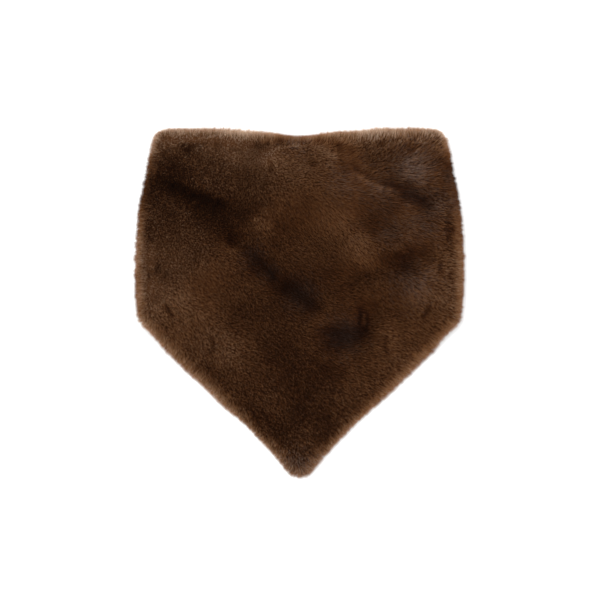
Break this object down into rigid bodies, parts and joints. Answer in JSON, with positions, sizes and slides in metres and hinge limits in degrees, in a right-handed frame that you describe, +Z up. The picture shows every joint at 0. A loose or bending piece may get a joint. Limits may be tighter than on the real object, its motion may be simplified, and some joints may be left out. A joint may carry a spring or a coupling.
{
  "type": "fur bandana",
  "caption": "Short-haired fur bandana with a pointed front, its ends folded behind at both sides, laid flat.",
  "frame": {"origin": "on the surface it lies on, under the middle of its bounding box", "axes": "+Z up out of the front's fur, +Y from the point to the straight top edge, +X to the right of the front seen from above"},
  "size_m": [0.2982, 0.3163, 0.0327],
  "materials": {
    "fur": "matte",
    "pressed_fur": "matte"
  },
  "bodies": {
    "root": {"front": "fur", "right_end": "pressed_fur", "left_end": "pressed_fur"}
  },
  "joints": []
}
